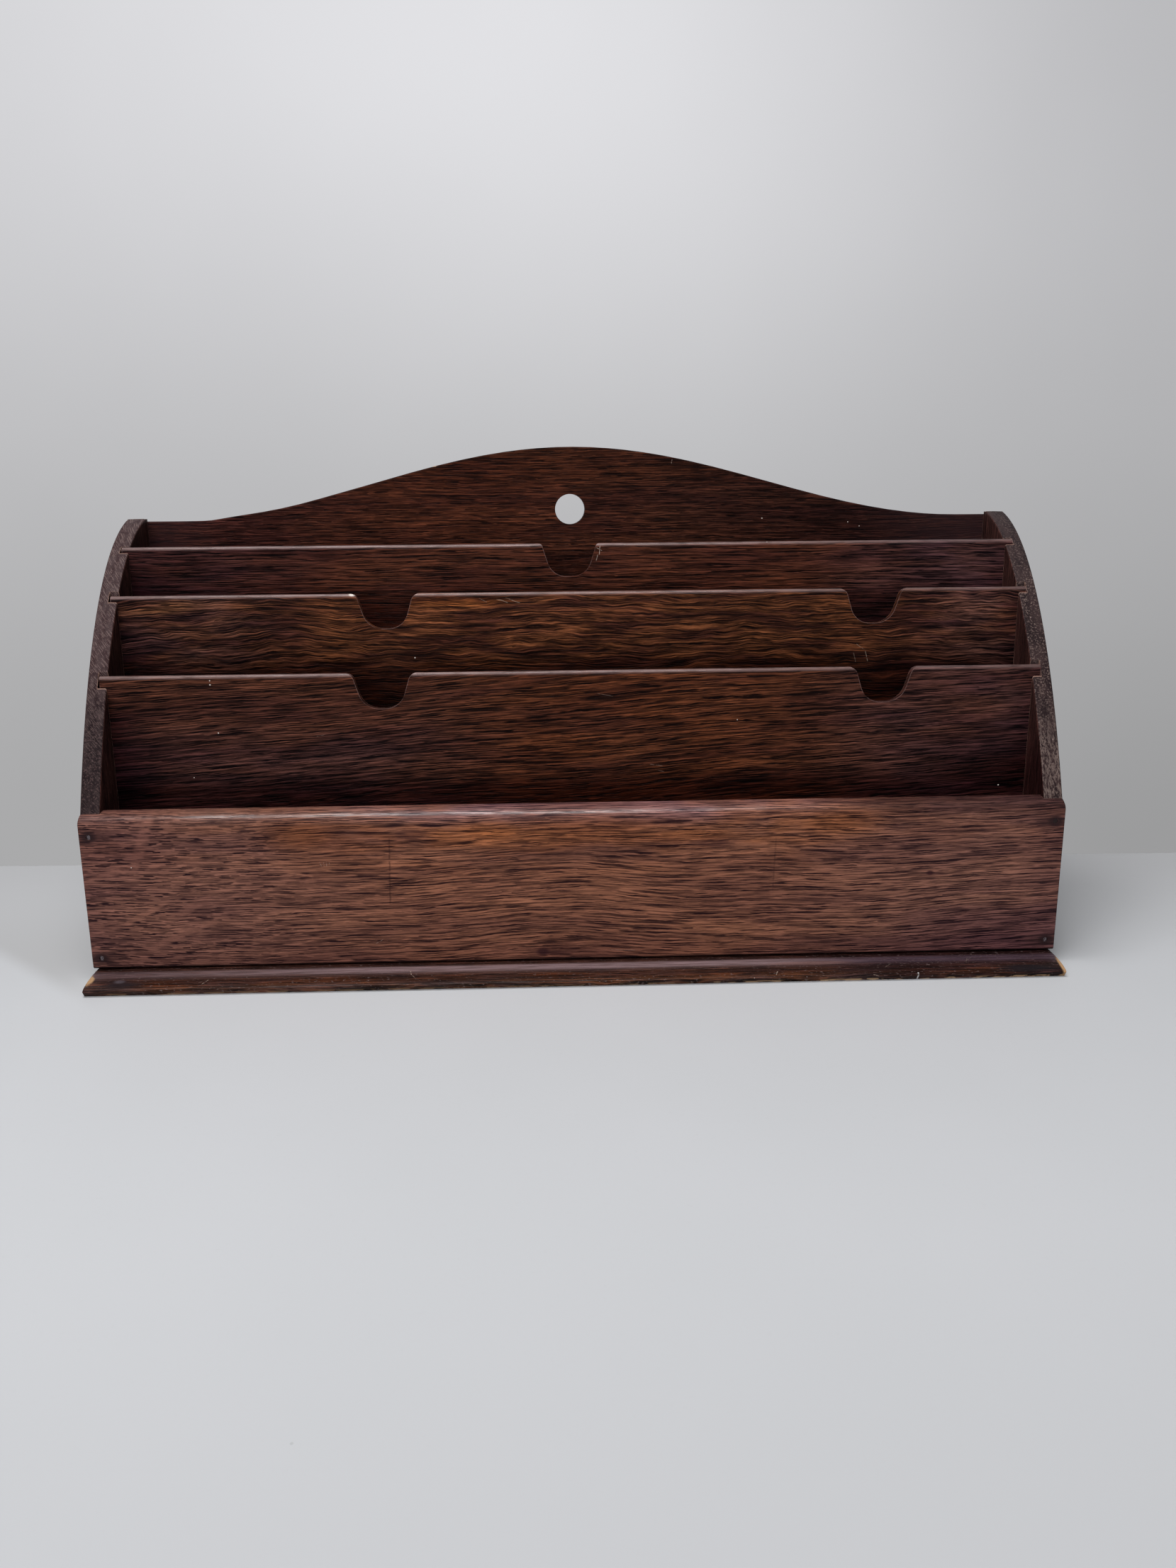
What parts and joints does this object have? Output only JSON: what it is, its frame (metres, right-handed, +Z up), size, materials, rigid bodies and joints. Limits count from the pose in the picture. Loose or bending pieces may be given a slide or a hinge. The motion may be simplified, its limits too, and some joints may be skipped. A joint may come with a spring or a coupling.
{
  "type": "mail sorter",
  "caption": "Table-top letter rack of dark oak boards: upright slots that step up behind a low front to a shaped back with a hanging hole, with lift-out dividers between arched ends.",
  "frame": {"origin": "on the table, under the middle of the bounding box", "axes": "+X to the right along the front board, +Y to the back panel, +Z up; the front faces -Y"},
  "size_m": [0.4, 0.12, 0.2147],
  "materials": {
    "base_oak": "dark stained oak, worn to bare wood at the ends of its nose",
    "front_oak": "reddish brown stained oak with a thin satin finish",
    "side_oak": "dark stained oak, grey and scuffed along the curved edges",
    "back_oak": "dark stained oak, satin",
    "divider_oak": "dark stained oak with worn, lighter top edges",
    "nail_steel": "dulled, stained wire nail"
  },
  "bodies": {
    "rack": {"base_board": "base_oak", "front_board": "front_oak", "left_side": "side_oak", "right_side": "side_oak", "back_panel": "back_oak", "front_nails": "nail_steel", "back_nails": "nail_steel", "base_nails": "nail_steel"},
    "front_divider": {"front_divider": "divider_oak"},
    "middle_divider": {"middle_divider": "divider_oak"},
    "rear_divider": {"rear_divider": "divider_oak"}
  },
  "joints": [
    {"name": "front_divider_lift", "type": "slide", "parent": "rack", "child": "front_divider", "axis": [0, 0, 1], "range_m": [0, 0.125]},
    {"name": "middle_divider_lift", "type": "slide", "parent": "rack", "child": "middle_divider", "axis": [0, 0, 1], "range_m": [0, 0.155]},
    {"name": "rear_divider_lift", "type": "slide", "parent": "rack", "child": "rear_divider", "axis": [0, 0, 1], "range_m": [0, 0.175]}
  ]
}
